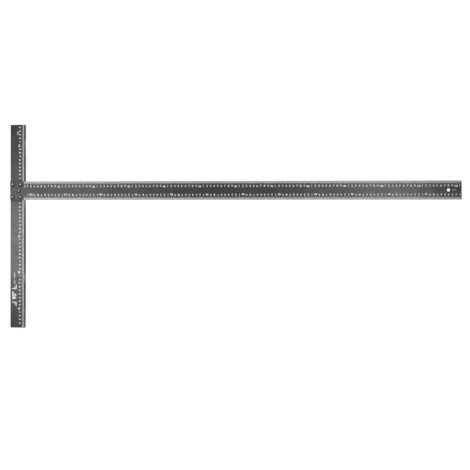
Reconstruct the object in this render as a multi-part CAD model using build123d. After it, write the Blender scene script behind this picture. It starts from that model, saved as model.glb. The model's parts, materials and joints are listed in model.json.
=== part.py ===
from build123d import *
import math
import os

# Drywall T square: a long flat blade riveted square across a shorter channel-section head.
# Millimetres. Origin: inside corner where the fence face of the head meets the underside of
# the blade, on the blade's centreline. +X runs along the blade from the fence to the free
# end, +Y along the head towards its short arm, +Z up out of the scale face.

# Blade
BLADE_REACH = 1215.0        # from the fence face to the free end
BLADE_WIDTH = 50.8
BLADE_THICKNESS = 3.0
BLADE_CORNER_RADIUS = 1.5   # four plan corners
BLADE_EDGE_CHAMFER = 0.3    # broken edges round the upper face

# Hanging hole, near the free end
HANG_HOLE_DIAMETER = 8.5
HANG_HOLE_FROM_END = 35.0

# Head, an extruded channel that opens downwards
HEAD_WIDTH = 40.0
HEAD_DEPTH = 15.0
HEAD_SHORT_ARM = 182.0      # from the blade's centreline to the head's near end
HEAD_LONG_ARM = 378.0       # from the blade's centreline to the head's far end
WEB_THICKNESS = 2.6         # the plate that the blade lies on
FLANGE_THICKNESS = 2.5      # the fence flange and the back flange
OUTER_CORNER_RADIUS = 0.8   # where the web turns down into a flange
INNER_CORNER_RADIUS = 0.6
FLANGE_TIP_RADIUS = 0.5

# Rivets
SHANK_DIAMETER = 3.2
SHANK_CLEARANCE = 0.05      # on the radius, in the blade and in the web
RIVET_HEAD_DIAMETER = 6.5
RIVET_HEAD_HEIGHT = 1.2
RIVET_TAIL_DIAMETER = 4.4
RIVET_TAIL_HEIGHT = 1.3
RIVET_TAIL_CHAMFER = 0.35
RIVET_PAIR_HALF_SPACING = 17.5
BACK_PAIR_FROM_FENCE = 33.2
FRONT_PAIR_FROM_FENCE = 10.4
CENTRE_FROM_FENCE = 15.6

RIVET_PLACES = {
    "rivet_back_upper": (-BACK_PAIR_FROM_FENCE, RIVET_PAIR_HALF_SPACING),
    "rivet_back_lower": (-BACK_PAIR_FROM_FENCE, -RIVET_PAIR_HALF_SPACING),
    "rivet_front_upper": (-FRONT_PAIR_FROM_FENCE, RIVET_PAIR_HALF_SPACING),
    "rivet_front_lower": (-FRONT_PAIR_FROM_FENCE, -RIVET_PAIR_HALF_SPACING),
    "rivet_centre": (-CENTRE_FROM_FENCE, 0.0),
}


def rivet_holes(bottom, top):
    """The five shank holes as cutters, from one height to another."""
    radius = SHANK_DIAMETER / 2 + SHANK_CLEARANCE
    with BuildPart() as cutters:
        with Locations(*[(x, y, bottom) for x, y in RIVET_PLACES.values()]):
            Cylinder(radius, top - bottom, align=(Align.CENTER, Align.CENTER, Align.MIN))
    return cutters.part


def make_blade():
    """Flat bar with rounded corners, the hanging hole and the five rivet holes."""
    length = BLADE_REACH + HEAD_WIDTH
    middle = (BLADE_REACH - HEAD_WIDTH) / 2
    with BuildPart() as blade:
        with BuildSketch():
            with Locations((middle, 0)):
                RectangleRounded(length, BLADE_WIDTH, BLADE_CORNER_RADIUS)
        extrude(amount=BLADE_THICKNESS)
        top_face = blade.faces().sort_by(Axis.Z)[-1]
        chamfer(top_face.edges(), BLADE_EDGE_CHAMFER)
        with Locations((BLADE_REACH - HANG_HOLE_FROM_END, 0, BLADE_THICKNESS)):
            Hole(HANG_HOLE_DIAMETER / 2, BLADE_THICKNESS)
        add(rivet_holes(0, BLADE_THICKNESS), mode=Mode.SUBTRACT)
    return blade.part


def head_section():
    """Closed outline of the channel in the XZ plane: web on top, a flange down each edge."""
    with BuildSketch(Plane.XZ) as section:
        with Locations((-HEAD_WIDTH / 2, -HEAD_DEPTH / 2)):
            Rectangle(HEAD_WIDTH, HEAD_DEPTH)
        with Locations((-HEAD_WIDTH / 2, -WEB_THICKNESS)):
            Rectangle(
                HEAD_WIDTH - 2 * FLANGE_THICKNESS,
                HEAD_DEPTH - WEB_THICKNESS,
                align=(Align.CENTER, Align.MAX),
                mode=Mode.SUBTRACT,
            )
        tips, inner_corners, outer_corners = section.vertices().group_by(Axis.Y)
        fillet(outer_corners, OUTER_CORNER_RADIUS)
        fillet(inner_corners, INNER_CORNER_RADIUS)
        fillet(tips, FLANGE_TIP_RADIUS)
    return section.sketch


def make_head():
    """The channel, cut to length, with the five rivet holes through its web."""
    with BuildPart() as head:
        extrude(head_section(), amount=HEAD_LONG_ARM)
        extrude(head_section(), amount=-HEAD_SHORT_ARM)
        add(rivet_holes(-WEB_THICKNESS, 0), mode=Mode.SUBTRACT)
    return head.part


def make_rivet(x, y):
    """A set rivet: low domed head on the blade, shank, and upset tail under the web."""
    head_radius = RIVET_HEAD_DIAMETER / 2
    tail_radius = RIVET_TAIL_DIAMETER / 2
    dome_radius = (head_radius**2 + RIVET_HEAD_HEIGHT**2) / (2 * RIVET_HEAD_HEIGHT)
    half_angle = math.asin(head_radius / dome_radius) / 2
    dome_centre_z = BLADE_THICKNESS + RIVET_HEAD_HEIGHT - dome_radius
    dome_middle = (
        dome_radius * math.sin(half_angle),
        dome_centre_z + dome_radius * math.cos(half_angle),
    )
    dome_top = (0, BLADE_THICKNESS + RIVET_HEAD_HEIGHT)
    tail_bottom_z = -WEB_THICKNESS - RIVET_TAIL_HEIGHT
    with BuildPart(Plane.XY) as rivet:
        with BuildSketch(Plane.XZ):
            with BuildLine():
                ThreePointArc(dome_top, dome_middle, (head_radius, BLADE_THICKNESS))
                Polyline(
                    (head_radius, BLADE_THICKNESS),
                    (SHANK_DIAMETER / 2, BLADE_THICKNESS),
                    (SHANK_DIAMETER / 2, -WEB_THICKNESS),
                    (tail_radius, -WEB_THICKNESS),
                    (tail_radius, tail_bottom_z + RIVET_TAIL_CHAMFER),
                    (tail_radius - RIVET_TAIL_CHAMFER, tail_bottom_z),
                    (0, tail_bottom_z),
                    dome_top,
                )
            make_face()
        revolve(axis=Axis.Z)
    return rivet.part.moved(Location((x, y, 0)))


def main():
    """Write one STEP file for each separate piece."""
    os.makedirs("parts", exist_ok=True)
    export_step(make_blade(), "parts/blade.step")
    export_step(make_head(), "parts/head.step")
    for name, (x, y) in RIVET_PLACES.items():
        export_step(make_rivet(x, y), f"parts/{name}.step")


if __name__ == "__main__":
    main()
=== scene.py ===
"""Drywall T square: printed scales, finishes, floor, lights and camera around its CAD parts."""
import json
import math

import bmesh
import bpy
from bpy.props import FloatProperty, FloatVectorProperty, PointerProperty
from mathutils import Euler, Matrix, Vector


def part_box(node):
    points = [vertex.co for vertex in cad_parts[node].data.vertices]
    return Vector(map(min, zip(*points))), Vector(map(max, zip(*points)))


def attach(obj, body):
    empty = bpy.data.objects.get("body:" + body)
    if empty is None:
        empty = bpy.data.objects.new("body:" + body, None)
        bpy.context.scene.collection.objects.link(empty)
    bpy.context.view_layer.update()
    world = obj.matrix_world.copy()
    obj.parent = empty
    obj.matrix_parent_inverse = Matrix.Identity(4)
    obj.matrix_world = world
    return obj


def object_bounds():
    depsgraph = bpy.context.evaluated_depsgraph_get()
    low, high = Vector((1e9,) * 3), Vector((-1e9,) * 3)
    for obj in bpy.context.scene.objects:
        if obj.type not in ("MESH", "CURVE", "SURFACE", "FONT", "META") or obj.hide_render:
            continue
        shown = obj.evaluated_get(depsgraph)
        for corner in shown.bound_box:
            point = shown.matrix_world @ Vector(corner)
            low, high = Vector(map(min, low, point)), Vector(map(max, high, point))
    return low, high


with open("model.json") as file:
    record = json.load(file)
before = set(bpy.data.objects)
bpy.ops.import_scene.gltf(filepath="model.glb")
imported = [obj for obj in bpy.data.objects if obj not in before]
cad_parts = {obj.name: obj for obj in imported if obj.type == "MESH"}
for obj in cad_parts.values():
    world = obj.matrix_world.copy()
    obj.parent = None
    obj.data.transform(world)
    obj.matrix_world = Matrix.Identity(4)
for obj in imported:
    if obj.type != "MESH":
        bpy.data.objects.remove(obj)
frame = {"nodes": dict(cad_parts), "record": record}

bl_info = {
    "name": "Drywall T Square",
    "version": (1, 0, 0),
    "blender": (4, 5, 0),
    "location": "3D View > Sidebar > T Square",
    "description": "Finishes and printed scales of a riveted drywall T square, with its stage",
    "category": "Object",
}

CAD_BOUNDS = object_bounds()
MM = 0.001

# What the frame says: the fence face is at x = 0 and the blade's centreline at y = 0
BLADE_LOW, BLADE_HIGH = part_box("blade")
HEAD_LOW, HEAD_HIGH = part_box("head")
BLADE_FACE = BLADE_HIGH[2]
BLADE_HALF_WIDTH = BLADE_HIGH[1]
BLADE_END = BLADE_HIGH[0]
HEAD_FACE = HEAD_HIGH[2]
FLOOR_LEVEL = HEAD_LOW[2]
RIVET_NODES = [name for name in frame["nodes"] if name.startswith("rivet_")]
MOUNTS = {mount["name"]: mount for mount in frame["record"]["mounts"]}
HANGING_HOLE = Vector(MOUNTS["hanging_hole"]["pos_m"])

# Scales: the whole millimetres between numbers and between middle lines, and the numbers
# that are printed in full
MM_PER_NUMBER = 10
MM_PER_MIDDLE = 5
TENS = 10

# Where the upper scale's "0" stands, just past the fence
ZERO_X = 2.2 * MM

# Lettering: how much a stroke is thickened, as a part of the font size, and the points that
# each stretch of its curves gets
LIGHT = -0.02
PLAIN = 0.008
BOLD = 0.035
LETTER_RESOLUTION = 3

# How numbers of 1, 2 and 3 digits are printed: their height, their top's distance from the
# ruled edge, how wide they are drawn, and their stroke
BLADE_NUMBERS = {
    1: (5.3 * MM, 10.9 * MM, 1.45, PLAIN),
    2: (5.3 * MM, 11.9 * MM, 1.10, BOLD),
    3: (5.3 * MM, 11.9 * MM, 1.00, BOLD),
}
HEAD_NUMBERS = {
    1: (4.2 * MM, 10.8 * MM, 1.80, BOLD),
    2: (5.6 * MM, 11.8 * MM, 1.10, BOLD),
}

# The dye keeps the anodised metal dark at a glancing view
EDGE_TINT = (0.58, 0.58, 0.58, 1.0)

# How dark the metal is painted where shade falls, as painted shade: the blade's shadow on the head
# below its lower edge, and rings round the rivets, set off towards their shaded side, towards the
# free end and the long arm
PAINTED_SHADE_BELOW_BLADE = 0.5
PAINTED_SHADE_BY_RIVETS = 0.35
# How far each rivet's ring of painted shade is set off its middle, towards its shaded side
SHADE_OFFSET = Vector((1.0, -1.0, 0.0)) * MM

# The side of the surround that is brightest, and the range over which it falls off
BRIGHT_SIDE = (-0.40, 0.62, 0.67)
FALL_OFF = (0.05, 0.8)
DARK_SIDE = 0.06

# The floor's half size, and how strongly it glows
FLOOR_HALF_SIZE = 15
FLOOR_GLOW = 0.92

# Soft boxes: name, place in x and y, size in x and y, power in watts
SOFT_BOXES = (
    ("box_head_long_arm", (-0.22, -0.17), (0.22, 0.22), 1.6),
    ("box_head_short_arm", (-0.22, 0.08), (0.20, 0.10), 0.30),
    ("box_blade_start", (0.05, 0.0), (0.30, 0.20), 0.60),
    ("box_blade_middle", (0.45, 0.0), (0.40, 0.20), 0.25),
    ("box_blade_far", (0.74, 0.0), (0.20, 0.24), 0.45),
    ("box_blade_end", (0.95, 0.0), (0.14, 0.24), 0.80),
)


def length(name, text, default):
    """A length setting, in metres."""
    return FloatProperty(name=name, description=text, default=default, unit="LENGTH", precision=5)


def colour(name, text, default):
    """A linear colour setting."""
    return FloatVectorProperty(
        name=name, description=text, default=default, subtype="COLOR", min=0, max=1
    )


def angle(name, text, degrees):
    """An angle setting, given in degrees."""
    return FloatProperty(
        name=name, description=text, default=math.radians(degrees), subtype="ANGLE"
    )


def strength(name, text, default):
    """A setting with no unit that is never negative."""
    return FloatProperty(name=name, description=text, default=default, min=0)


# ---------------------------------------------------------------- settings


class TSquareScaleSettings(bpy.types.PropertyGroup):
    """Sizes of the printed graduations and numbers."""

    line_width: length("Line width", "Width of one printed line", 0.45 * MM)
    ink_height: length("Ink height", "How far the print stands above the metal", 0.05 * MM)
    rim: length("Blade rim", "Bare strip between the blade's edge and its lines", 0.4 * MM)
    blade_millimetre: length("Blade mm line", "Reach of a millimetre line from the edge", 5.7 * MM)
    blade_middle: length("Blade 5 mm line", "Reach of a five millimetre line", 8.6 * MM)
    blade_centimetre: length("Blade cm line", "Reach of a centimetre line", 9.8 * MM)
    head_rim: length("Head rim", "Bare strip between the fence and the head's lines", 1.0 * MM)
    head_millimetre: length("Head mm line", "Reach of a millimetre line from the fence", 4.7 * MM)
    head_middle: length("Head 5 mm line", "Reach of a five millimetre line", 6.4 * MM)
    head_centimetre: length("Head cm line", "Reach of a centimetre line", 8.2 * MM)
    head_zero: length("Head zero", "Where the head's scales count from, under the blade", 24.8 * MM)
    lower_zero: length("Lower zero", "Where the lower scale counts from, past the fence", 1221 * MM)


class TSquareFinishSettings(bpy.types.PropertyGroup):
    """Colours and gloss of the metal and the print."""

    anodised: colour("Anodised", "Reflection of the black anodised metal", (0.0425, 0.0425, 0.0425))
    bare: colour("Bare metal", "Aluminium where the black has worn through", (0.42, 0.42, 0.42))
    rivet: colour("Rivet", "Dulled metal of the rivets", (0.32, 0.32, 0.32))
    ink: colour("Ink", "Colour of the printed scales", (0.88, 0.88, 0.88))
    gloss: FloatProperty(
        name="Roughness",
        description="Mean roughness of the anodised metal",
        default=0.34,
        min=0,
        max=1,
    )


class TSquareStageSettings(bpy.types.PropertyGroup):
    """Camera, floor and lights."""

    lean_along_head: angle("Lean along head", "Camera turn about X", -0.19)
    lean_along_blade: angle("Lean along blade", "Camera turn about Y, towards the free end", 13.36)
    roll: angle("Roll", "Camera turn about Z", 0.09)
    distance: length("Distance", "From the camera to the point it looks at", 6.92)
    lens: FloatProperty(
        name="Lens",
        description="Focal length in millimetres",
        default=196.0,
        subtype="DISTANCE_CAMERA",
    )
    aim_x: length("Aim X", "Where the camera looks, from the middle of the part", 11.0 * MM)
    aim_y: length("Aim Y", "Where the camera looks, from the middle of the part", -22.8 * MM)
    surround: strength("Surround", "Strength of the surround where it is brightest", 0.78)
    box_height: length("Light height", "Height of the soft boxes over the scale face", 0.6)
    box_power: strength("Light power", "Power of all soft boxes, as a factor", 0.96)


# ---------------------------------------------------------------- mesh helpers


def add_bar(mesh, low, high):
    """Add a closed box between two corners."""
    low = Vector(low)
    high = Vector(high)
    size = Matrix.Diagonal((*(high - low), 1))
    bmesh.ops.create_cube(mesh, size=1, matrix=Matrix.Translation((low + high) / 2) @ size)


def text_mesh(text, weight):
    """A closed slab of text one unit high, centred across, its top at y = 0 and base at z = 0."""
    curve = bpy.data.curves.new("lettering", "FONT")
    curve.body = text
    curve.align_x = "CENTER"
    curve.resolution_u = LETTER_RESOLUTION
    curve.offset = weight
    curve.extrude = 0.5
    lettering = bpy.data.objects.new("lettering", curve)
    flat = bpy.data.meshes.new_from_object(lettering)
    bpy.data.objects.remove(lettering)
    bpy.data.curves.remove(curve)
    shape = bmesh.new()
    shape.from_mesh(flat)
    bpy.data.meshes.remove(flat)
    bmesh.ops.remove_doubles(shape, verts=shape.verts, dist=1e-4)
    bmesh.ops.recalc_face_normals(shape, faces=shape.faces)
    ys = [v.co.y for v in shape.verts]
    tall = max(ys) - min(ys)
    bmesh.ops.translate(shape, verts=shape.verts, vec=(0, -max(ys), 0.5))
    bmesh.ops.scale(shape, verts=shape.verts, vec=(1 / tall, 1 / tall, 1))
    mesh = bpy.data.meshes.new("lettering")
    shape.to_mesh(mesh)
    shape.free()
    return mesh


class Lettering:
    """Adds slabs of text to a mesh, each word's shape made only once."""

    def __init__(self, mesh, ink_height):
        self.mesh = mesh
        self.ink_height = ink_height
        self.shapes = {}

    def add(self, text, place, height, turn=0.0, stretch=1.0, weight=PLAIN):
        """Add text with the middle of its top at a place, turned about +Z."""
        if text not in self.shapes:
            self.shapes[text] = text_mesh(text, weight)
        copy = self.shapes[text].copy()
        size = Matrix.Diagonal((height * stretch, height, self.ink_height * 2, 1))
        sunk = Matrix.Translation(Vector(place) - Vector((0, 0, self.ink_height)))
        copy.transform(sunk @ Matrix.Rotation(turn, 4, "Z") @ size)
        self.mesh.from_mesh(copy)
        bpy.data.meshes.remove(copy)

    def add_number(self, number, styles, edge_place, inward, turn):
        """Add a scale's number: tens in full, the numbers between them as one wide digit."""
        text = str(number) if number % TENS == 0 else str(number)[-1]
        height, inset, stretch, weight = styles[len(text)]
        place = Vector(edge_place) + Vector(inward) * inset
        self.add(text, place, height, turn, stretch, weight)

    def close(self):
        """Remove the shapes that were copied."""
        for shape in self.shapes.values():
            bpy.data.meshes.remove(shape)


def finish_piece(name, mesh, material):
    """Turn a bmesh into an object that rides on the part."""
    data = bpy.data.meshes.new(name)
    mesh.to_mesh(data)
    mesh.free()
    data.materials.append(material)
    piece = bpy.data.objects.new(name, data)
    bpy.context.scene.collection.objects.link(piece)
    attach(piece, "root")
    return piece


def reach_of(count, millimetre, middle, centimetre):
    """How far a line reaches, from its place in the count."""
    if count % MM_PER_NUMBER == 0:
        return centimetre
    if count % MM_PER_MIDDLE == 0:
        return middle
    return millimetre


# ---------------------------------------------------------------- materials


class Nodes:
    """Builds the nodes of one material."""

    def __init__(self, name):
        self.material = bpy.data.materials.new(name)
        self.material.use_nodes = True
        self.tree = self.material.node_tree
        self.shader = self.tree.nodes["Principled BSDF"]
        self.place = self.tree.nodes.new("ShaderNodeTexCoord").outputs["Object"]

    def add(self, kind, inputs, output=0, **options):
        """A node with its options and inputs set; an input is a socket or a value."""
        node = self.tree.nodes.new(kind)
        for key, value in options.items():
            setattr(node, key, value)
        for key, value in inputs.items():
            if isinstance(value, bpy.types.NodeSocket):
                self.tree.links.new(value, node.inputs[key])
            else:
                node.inputs[key].default_value = value
        return node.outputs[output]

    def math(self, operation, first, second=0.0):
        """One sum of two sockets or numbers."""
        return self.add("ShaderNodeMath", {0: first, 1: second}, operation=operation)

    def noise(self, scale, detail=3.0, stretch=(1, 1, 1), roughness=0.5):
        """Noise from 0 to 1 over the object, stretched by a scale per axis."""
        place = self.add("ShaderNodeMapping", {"Vector": self.place, "Scale": stretch})
        return self.add(
            "ShaderNodeTexNoise",
            {"Vector": place, "Scale": scale, "Detail": detail, "Roughness": roughness},
        )

    def ramp(self, value, low, high, to_low, to_high):
        """A value mapped smoothly from one range to another."""
        return self.add(
            "ShaderNodeMapRange",
            {"Value": value, "From Min": low, "From Max": high, "To Min": to_low, "To Max": to_high},
            interpolation_type="SMOOTHSTEP",
        )

    def mix(self, factor, first, second):
        """Two colours mixed."""
        node = self.tree.nodes.new("ShaderNodeMix")
        node.data_type = "RGBA"
        for key, value in ((0, factor), (6, first), (7, second)):
            if isinstance(value, bpy.types.NodeSocket):
                self.tree.links.new(value, node.inputs[key])
            else:
                node.inputs[key].default_value = value
        return node.outputs[2]

    def set(self, **inputs):
        """Set or link the shader's own inputs, named with spaces as underscores."""
        for key, value in inputs.items():
            socket = self.shader.inputs[key.replace("_", " ")]
            if isinstance(value, bpy.types.NodeSocket):
                self.tree.links.new(value, socket)
            else:
                socket.default_value = value


def rgba(values):
    """A colour setting as four numbers."""
    return (*values, 1.0)


def joint_grime(nodes, parts):
    """A factor of painted shade: darker round the rivets, off to their shaded side, and along the
    blade's lower edge as its painted shadow on the head.
    """
    flat_place = nodes.add("ShaderNodeCombineXYZ", {0: parts[0], 1: parts[1]})
    near = None
    for name in RIVET_NODES:
        low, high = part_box(name)
        # Each ring of painted shade is centred off the rivet, towards its shaded side
        middle = (Vector(low) + Vector(high)) / 2 + SHADE_OFFSET
        away = nodes.add(
            "ShaderNodeVectorMath",
            {0: flat_place, 1: (middle.x, middle.y, 0)},
            output="Value",
            operation="DISTANCE",
        )
        near = away if near is None else nodes.math("MINIMUM", near, away)
    # Painted shade round the rivets, darkest close to them
    rivet_shade = nodes.ramp(near, 3.0 * MM, 9.0 * MM, PAINTED_SHADE_BY_RIVETS, 1.0)
    # Painted shadow of the blade on the head, below the blade's lower edge
    below = nodes.math("SUBTRACT", nodes.math("MULTIPLY", parts[1], -1.0), BLADE_HALF_WIDTH)
    line = nodes.ramp(below, 0.5 * MM, 6.0 * MM, PAINTED_SHADE_BELOW_BLADE, 1.0)
    line = nodes.math("MAXIMUM", line, nodes.math("LESS_THAN", below, 0.0))
    return nodes.math("MULTIPLY", rivet_shade, line)


def rubbed_edges(nodes, low, high, parts):
    """From 0 to 1 where the long edges and ends are rubbed through to bare metal."""
    edge = None
    for axis in (0, 1):
        middle = (low[axis] + high[axis]) / 2
        half = (high[axis] - low[axis]) / 2
        offset = nodes.math("ABSOLUTE", nodes.math("SUBTRACT", parts[axis], middle))
        inward = nodes.math("SUBTRACT", half, offset)
        edge = inward if edge is None else nodes.math("MINIMUM", edge, inward)
    ragged = nodes.noise(420.0, 3.0, (1, 1, 1), 0.65)
    reach = nodes.ramp(ragged, 0.45, 0.75, 0.05 * MM, 0.5 * MM)
    rubbed = nodes.ramp(nodes.math("DIVIDE", edge, reach), 0.3, 1.0, 1.0, 0.0)
    patches = nodes.ramp(nodes.noise(14.0, 2.0), 0.48, 0.66, 0.06, 0.6)
    return nodes.math("MULTIPLY", rubbed, patches)


def scratches(nodes, turn, scale, width):
    """From 0 to 1 along a few fine scratches that lie roughly at one angle."""
    place = nodes.add(
        "ShaderNodeMapping",
        {"Vector": nodes.place, "Rotation": (0, 0, turn), "Scale": (1.0, 9.0, 1.0)},
    )
    cells = nodes.add(
        "ShaderNodeTexVoronoi",
        {"Vector": place, "Scale": scale},
        feature="DISTANCE_TO_EDGE",
        voronoi_dimensions="2D",
    )
    line = nodes.ramp(cells, 0.0, width, 1.0, 0.0)
    broken = nodes.ramp(nodes.noise(scale * 2.5, 2.0), 0.52, 0.62, 0.0, 1.0)
    return nodes.math("MULTIPLY", line, broken)


def anodised_metal(name, low, high, along):
    """Black anodised bar: drawn lines along it, uneven dye, scratches, hand marks, worn edges, and
    painted shade at the joint.
    """
    finish = bpy.context.scene.tsquare_finish
    nodes = Nodes(name)
    across = [1.0 if axis == along else 60.0 for axis in range(3)]
    drawn = nodes.noise(22.0, 5.0, across, 0.6)
    fine = nodes.noise(110.0, 2.0, across, 0.5)
    dye = nodes.noise(9.0, 3.0)
    hands = nodes.noise(34.0, 4.0, (1, 1, 1), 0.6)
    parts = nodes.add("ShaderNodeSeparateXYZ", {"Vector": nodes.place}).node.outputs
    worn = rubbed_edges(nodes, low, high, parts)
    scored = nodes.math(
        "MAXIMUM", scratches(nodes, 0.5, 26.0, 0.012), scratches(nodes, -0.9, 34.0, 0.010)
    )

    shade = nodes.ramp(drawn, 0.25, 0.75, 0.84, 1.16)
    shade = nodes.math("MULTIPLY", shade, nodes.ramp(fine, 0.3, 0.7, 0.94, 1.06))
    shade = nodes.math("MULTIPLY", shade, nodes.ramp(dye, 0.3, 0.7, 0.92, 1.08))
    # Painted shade: the blade's shadow on the head and shade round the rivets, multiplied into the
    # colour
    shade = nodes.math("MULTIPLY", shade, joint_grime(nodes, parts))
    black = nodes.add(
        "ShaderNodeVectorMath",
        {0: tuple(finish.anodised), "Scale": shade},
        operation="SCALE",
    )
    lightly_scored = nodes.math("MULTIPLY", scored, 0.12)
    bared = nodes.math("MAXIMUM", worn, lightly_scored)
    base = nodes.mix(bared, black, rgba(finish.bare))

    rough = nodes.ramp(drawn, 0.25, 0.75, finish.gloss - 0.05, finish.gloss + 0.05)
    rough = nodes.math("ADD", rough, nodes.ramp(hands, 0.45, 0.7, 0.0, 0.06))
    rough = nodes.math("SUBTRACT", rough, nodes.math("MULTIPLY", worn, 0.08))
    lines = nodes.math("ADD", drawn, nodes.math("MULTIPLY", fine, 0.5))
    lines = nodes.math("SUBTRACT", lines, nodes.math("MULTIPLY", scored, 0.6))
    bump = nodes.add(
        "ShaderNodeBump", {"Height": lines, "Strength": 0.35, "Distance": 0.02 * MM}
    )
    nodes.set(
        Base_Color=base,
        Metallic=1.0,
        Roughness=rough,
        Specular_Tint=EDGE_TINT,
        Normal=bump,
    )
    return nodes.material


def rivet_metal():
    """Bare aluminium rivets, lightly hammered and dulled."""
    finish = bpy.context.scene.tsquare_finish
    nodes = Nodes("rivet_aluminium")
    pits = nodes.noise(900.0, 3.0)
    dull = nodes.noise(260.0, 2.0)
    tone = nodes.ramp(dull, 0.3, 0.7, 0.85, 1.1)
    base = nodes.add(
        "ShaderNodeVectorMath", {0: tuple(finish.rivet), "Scale": tone}, operation="SCALE"
    )
    rough = nodes.ramp(pits, 0.3, 0.7, 0.3, 0.45)
    bump = nodes.add("ShaderNodeBump", {"Height": pits, "Strength": 0.4, "Distance": 0.05 * MM})
    nodes.set(Base_Color=base, Metallic=1.0, Roughness=rough, Normal=bump)
    return nodes.material


def ink():
    """Printed white ink, a little uneven and thinned by handling."""
    found = bpy.data.materials.get("scale_ink")
    if found:
        return found
    finish = bpy.context.scene.tsquare_finish
    nodes = Nodes("scale_ink")
    grain = nodes.noise(1500.0, 2.0)
    thin = nodes.noise(30.0, 3.0)
    tone = nodes.math(
        "MULTIPLY", nodes.ramp(grain, 0.3, 0.7, 0.92, 1.04), nodes.ramp(thin, 0.35, 0.65, 0.94, 1.0)
    )
    base = nodes.add(
        "ShaderNodeVectorMath", {0: tuple(finish.ink), "Scale": tone}, operation="SCALE"
    )
    nodes.set(Base_Color=base, Roughness=nodes.ramp(grain, 0.3, 0.7, 0.45, 0.6))
    return nodes.material


# ---------------------------------------------------------------- pieces


def dress(node, material):
    """Give a CAD node its finish."""
    slots = frame["nodes"][node].material_slots
    for slot in slots:
        slot.material = material


def blade_lines(name, side, zero, direction):
    """Graduations along one long edge of the blade, counted from a zero."""
    sizes = bpy.context.scene.tsquare_scale
    mesh = bmesh.new()
    half_line = sizes.line_width / 2
    outer = BLADE_HALF_WIDTH - sizes.rim
    bottom = BLADE_FACE - sizes.ink_height
    top = BLADE_FACE + sizes.ink_height
    start = round(zero / MM)
    for place in range(round(BLADE_END / MM)):
        x = max(place * MM, half_line)
        count = start + direction * place
        reach = reach_of(count, sizes.blade_millimetre, sizes.blade_middle, sizes.blade_centimetre)
        ends = sorted((side * outer, side * (BLADE_HALF_WIDTH - reach)))
        add_bar(mesh, (x - half_line, ends[0], bottom), (x + half_line, ends[1], top))
    return finish_piece(name, mesh, ink())


def blade_numbers(name, side, zero, direction, turn):
    """The row of numbers beside one long edge of the blade."""
    sizes = bpy.context.scene.tsquare_scale
    mesh = bmesh.new()
    lettering = Lettering(mesh, sizes.ink_height)
    edge_y = side * BLADE_HALF_WIDTH
    inward = (0, -side, 0)
    for number in range(1, int(BLADE_END / (MM_PER_NUMBER * MM)) + 1):
        x = zero + direction * number * MM_PER_NUMBER * MM
        lettering.add_number(number, BLADE_NUMBERS, (x, edge_y, BLADE_FACE), inward, turn)
    if direction > 0:
        height, inset = BLADE_NUMBERS[1][:2]
        lettering.add("0", (ZERO_X, edge_y - side * inset, BLADE_FACE), height, turn)
    lettering.close()
    return finish_piece(name, mesh, ink())


def head_arms():
    """Each arm of the head: its direction in y, where it starts, and its length in mm."""
    start = bpy.context.scene.tsquare_scale.head_zero
    return (
        (1, start, int((HEAD_HIGH[1] - start) / MM)),
        (-1, start, int((-HEAD_LOW[1] - start) / MM)),
    )


def head_lines():
    """Graduations along the fence, counted away from the blade on both arms."""
    sizes = bpy.context.scene.tsquare_scale
    mesh = bmesh.new()
    half_line = sizes.line_width / 2
    bottom = HEAD_FACE - sizes.ink_height
    top = HEAD_FACE + sizes.ink_height
    for side, start, last in head_arms():
        for count in range(1, last):
            y = side * (start + count * MM)
            reach = reach_of(count, sizes.head_millimetre, sizes.head_middle, sizes.head_centimetre)
            add_bar(mesh, (-reach, y - half_line, bottom), (-sizes.head_rim, y + half_line, top))
    return finish_piece("head_graduations", mesh, ink())


def head_numbers():
    """Numbers along the head, turned to read with the fence uppermost."""
    sizes = bpy.context.scene.tsquare_scale
    mesh = bmesh.new()
    lettering = Lettering(mesh, sizes.ink_height)
    for side, start, last in head_arms():
        for number in range(1, (last - MM_PER_MIDDLE) // MM_PER_NUMBER + 1):
            y = side * (start + number * MM_PER_NUMBER * MM)
            lettering.add_number(number, HEAD_NUMBERS, (0, y, HEAD_FACE), (-1, 0, 0), -math.pi / 2)
    lettering.close()
    return finish_piece("head_numbers", mesh, ink())


def unit_marks():
    """The plain units in small lettering: by the hanging hole and on both arms of the head."""
    sizes = bpy.context.scene.tsquare_scale
    quarter = math.pi / 2
    small = 3.8 * MM
    large = 6.3 * MM
    by_hole = (HANGING_HOLE.x + 15 * MM, small / 2, BLADE_FACE)
    on_short_arm = (-17.2 * MM, HEAD_HIGH[1] - 23 * MM, HEAD_FACE)
    on_long_arm = (HEAD_LOW[0] + 8.2 * MM, HEAD_LOW[1] + 136 * MM, HEAD_FACE)
    marks = (
        ("blade_unit_mark", "cm", by_hole, small, 0.0, LIGHT),
        ("head_unit_mark", "cm", on_short_arm, small, -quarter, PLAIN),
        ("head_units_mark", "cm / mm", on_long_arm, large, quarter, PLAIN),
    )
    for name, text, place, height, turn, weight in marks:
        mesh = bmesh.new()
        lettering = Lettering(mesh, sizes.ink_height)
        lettering.add(text, place, height, turn, weight=weight)
        lettering.close()
        finish_piece(name, mesh, ink())


def add_angle_sign(mesh, corner, along, height, bottom, top):
    """A right angle with its small square, its foot running along y from the corner."""
    x, y = corner
    stroke = 2.1 * MM
    foot = 12 * MM
    inner = 6.5 * MM
    thin = 1.3 * MM

    def bar(x_near, x_far, y_near, y_far):
        ends = sorted((y + along * y_near, y + along * y_far))
        add_bar(mesh, (x - x_far, ends[0], bottom), (x - x_near, ends[1], top))

    bar(0, stroke, 0, foot)
    bar(stroke, height, 0, stroke)
    bar(inner - thin, inner, stroke, inner)
    bar(stroke, inner - thin, inner - thin, inner)


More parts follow.
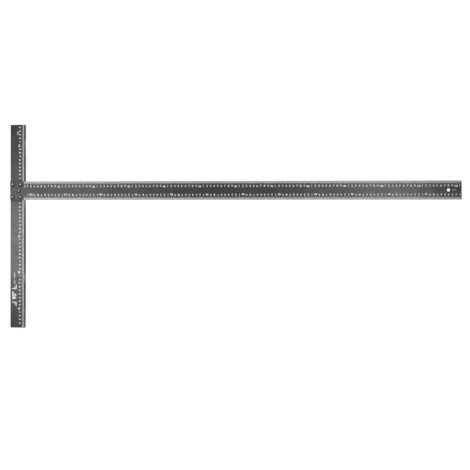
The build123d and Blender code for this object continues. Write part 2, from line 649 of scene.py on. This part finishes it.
def square_mark():
    """Ninety degrees between two right-angle signs, on the long arm."""
    sizes = bpy.context.scene.tsquare_scale
    mesh = bmesh.new()
    lettering = Lettering(mesh, sizes.ink_height)
    top_x = HEAD_LOW[0] + 4.5 * MM
    height = 13.5 * MM
    stretch = 0.95
    middle_y = HEAD_LOW[1] + 89 * MM
    sign_away = 17.5 * MM
    lettering.add("90°", (top_x, middle_y, HEAD_FACE), height, math.pi / 2, stretch, BOLD)
    lettering.close()
    bottom = HEAD_FACE - sizes.ink_height
    top = HEAD_FACE + sizes.ink_height
    for along in (-1, 1):
        corner = (top_x + height, middle_y + along * sign_away)
        add_angle_sign(mesh, corner, along, height, bottom, top)
    finish_piece("square_mark", mesh, ink())


# ---------------------------------------------------------------- stage


def make_floor():
    """Wide pale floor that the part lies on, softly lit through from below."""
    mesh = bmesh.new()
    bmesh.ops.create_grid(mesh, x_segments=1, y_segments=1, size=FLOOR_HALF_SIZE)
    bmesh.ops.translate(mesh, verts=mesh.verts, vec=(0, 0, FLOOR_LEVEL))
    data = bpy.data.meshes.new("floor")
    mesh.to_mesh(data)
    mesh.free()
    nodes = Nodes("pale_floor")
    paint = nodes.noise(3.0, 2.0)
    tone = nodes.ramp(paint, 0.3, 0.7, 0.27, 0.29)
    white = nodes.add("ShaderNodeCombineColor", {"Red": tone, "Green": tone, "Blue": tone})
    nodes.set(
        Base_Color=white,
        Roughness=0.9,
        Specular_IOR_Level=0.0,
        Emission_Color=(1, 1, 1, 1),
        Emission_Strength=FLOOR_GLOW,
    )
    data.materials.append(nodes.material)
    floor = bpy.data.objects.new("floor", data)
    bpy.context.scene.collection.objects.link(floor)


def make_soft_box(name, place, size, power):
    """A rectangular soft light facing down."""
    light = bpy.data.lights.new(name, "AREA")
    light.shape = "RECTANGLE"
    light.size = size[0]
    light.size_y = size[1]
    light.energy = power
    lamp = bpy.data.objects.new(name, light)
    lamp.location = place
    lamp.visible_camera = False
    bpy.context.scene.collection.objects.link(lamp)


def make_camera():
    """Camera high over the part, leaning towards the free end."""
    stage = bpy.context.scene.tsquare_stage
    turn = Euler((stage.lean_along_head, stage.lean_along_blade, stage.roll), "XYZ")
    middle = [(low + high) / 2 for low, high in zip(*CAD_BOUNDS)]
    aim = Vector((middle[0] + stage.aim_x, middle[1] + stage.aim_y, BLADE_FACE))
    data = bpy.data.cameras.new("camera")
    data.sensor_width = 36
    data.lens = stage.lens
    data.clip_end = 100
    camera = bpy.data.objects.new("camera", data)
    camera.location = aim + turn.to_matrix() @ Vector((0, 0, stage.distance))
    camera.rotation_euler = turn
    bpy.context.scene.collection.objects.link(camera)
    bpy.context.scene.camera = camera


def make_lights():
    """Pale surround, brighter on one side, and soft boxes whose reflections shade the metal."""
    stage = bpy.context.scene.tsquare_stage
    world = bpy.data.worlds.new("surround")
    world.use_nodes = True
    tree = world.node_tree
    direction = tree.nodes.new("ShaderNodeTexCoord").outputs["Generated"]
    facing = tree.nodes.new("ShaderNodeVectorMath")
    facing.operation = "DOT_PRODUCT"
    facing.inputs[1].default_value = BRIGHT_SIDE
    tree.links.new(direction, facing.inputs[0])
    shade = tree.nodes.new("ShaderNodeMapRange")
    shade.interpolation_type = "SMOOTHSTEP"
    shade.inputs["From Min"].default_value = FALL_OFF[0]
    shade.inputs["From Max"].default_value = FALL_OFF[1]
    shade.inputs["To Min"].default_value = DARK_SIDE
    shade.inputs["To Max"].default_value = stage.surround
    tree.links.new(facing.outputs["Value"], shade.inputs["Value"])
    tree.links.new(shade.outputs["Result"], tree.nodes["Background"].inputs["Strength"])
    tree.nodes["Background"].inputs["Color"].default_value = (1, 1, 1, 1)
    bpy.context.scene.world = world
    for name, (x, y), size, power in SOFT_BOXES:
        make_soft_box(name, (x, y, stage.box_height), size, power * stage.box_power)


# ---------------------------------------------------------------- operators


class TSQUARE_OT_finish_metal(bpy.types.Operator):
    """Anodise the blade and the head, and leave the rivets bare"""

    bl_idname = "tsquare.finish_metal"
    bl_label = "Finish Metal"

    def execute(self, context):
        dress("blade", anodised_metal("blade_anodised", BLADE_LOW, BLADE_HIGH, 0))
        dress("head", anodised_metal("head_anodised", HEAD_LOW, HEAD_HIGH, 1))
        rivets = rivet_metal()
        for name in RIVET_NODES:
            dress(name, rivets)
        return {"FINISHED"}


class TSQUARE_OT_upper_scale(bpy.types.Operator):
    """Print the blade's upper scale, which counts from the fence"""

    bl_idname = "tsquare.upper_scale"
    bl_label = "Blade Upper Scale"

    def execute(self, context):
        blade_lines("upper_graduations", 1, 0.0, 1)
        blade_numbers("upper_numbers", 1, 0.0, 1, 0.0)
        return {"FINISHED"}


class TSQUARE_OT_lower_scale(bpy.types.Operator):
    """Print the blade's lower scale, which counts from the free end and reads the other way up"""

    bl_idname = "tsquare.lower_scale"
    bl_label = "Blade Lower Scale"

    def execute(self, context):
        zero = context.scene.tsquare_scale.lower_zero
        blade_lines("lower_graduations", -1, zero, -1)
        blade_numbers("lower_numbers", -1, zero, -1, math.pi)
        return {"FINISHED"}


class TSQUARE_OT_head_scale(bpy.types.Operator):
    """Print the head's two scales, which count away from the blade"""

    bl_idname = "tsquare.head_scale"
    bl_label = "Head Scales"

    def execute(self, context):
        head_lines()
        head_numbers()
        return {"FINISHED"}


class TSQUARE_OT_plain_marks(bpy.types.Operator):
    """Print the unit marks and the right-angle mark"""

    bl_idname = "tsquare.plain_marks"
    bl_label = "Unit and Right-Angle Marks"

    def execute(self, context):
        unit_marks()
        square_mark()
        return {"FINISHED"}


class TSQUARE_OT_stage(bpy.types.Operator):
    """Lay the floor and set the lights and the camera"""

    bl_idname = "tsquare.stage"
    bl_label = "Stage"

    def execute(self, context):
        context.scene.view_settings.view_transform = "Standard"
        make_floor()
        make_lights()
        make_camera()
        return {"FINISHED"}


class TSQUARE_PT_panel(bpy.types.Panel):
    """Lists the steps that build the part and their settings"""

    bl_idname = "TSQUARE_PT_panel"
    bl_label = "T Square"
    bl_space_type = "VIEW_3D"
    bl_region_type = "UI"
    bl_category = "T Square"

    def draw(self, context):
        layout = self.layout
        for operator in OPERATORS:
            layout.operator(operator.bl_idname)
        for settings in (
            context.scene.tsquare_scale,
            context.scene.tsquare_finish,
            context.scene.tsquare_stage,
        ):
            box = layout.box()
            for name in settings.__annotations__:
                box.prop(settings, name)


SETTINGS = {
    "tsquare_scale": TSquareScaleSettings,
    "tsquare_finish": TSquareFinishSettings,
    "tsquare_stage": TSquareStageSettings,
}
OPERATORS = (
    TSQUARE_OT_stage,
    TSQUARE_OT_finish_metal,
    TSQUARE_OT_upper_scale,
    TSQUARE_OT_lower_scale,
    TSQUARE_OT_head_scale,
    TSQUARE_OT_plain_marks,
)


def register():
    """Add the settings, the operators and the panel."""
    for name, settings in SETTINGS.items():
        bpy.utils.register_class(settings)
        setattr(bpy.types.Scene, name, PointerProperty(type=settings))
    for operator in OPERATORS:
        bpy.utils.register_class(operator)
    bpy.utils.register_class(TSQUARE_PT_panel)


def unregister():
    """Remove them again, last added first."""
    bpy.utils.unregister_class(TSQUARE_PT_panel)
    for operator in reversed(OPERATORS):
        bpy.utils.unregister_class(operator)
    for name, settings in SETTINGS.items():
        delattr(bpy.types.Scene, name)
        bpy.utils.unregister_class(settings)


def main():
    """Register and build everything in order."""
    register()
    bpy.ops.tsquare.stage()
    bpy.ops.tsquare.finish_metal()
    bpy.ops.tsquare.upper_scale()
    bpy.ops.tsquare.lower_scale()
    bpy.ops.tsquare.head_scale()
    bpy.ops.tsquare.plain_marks()


if __name__ == "__main__":
    main()
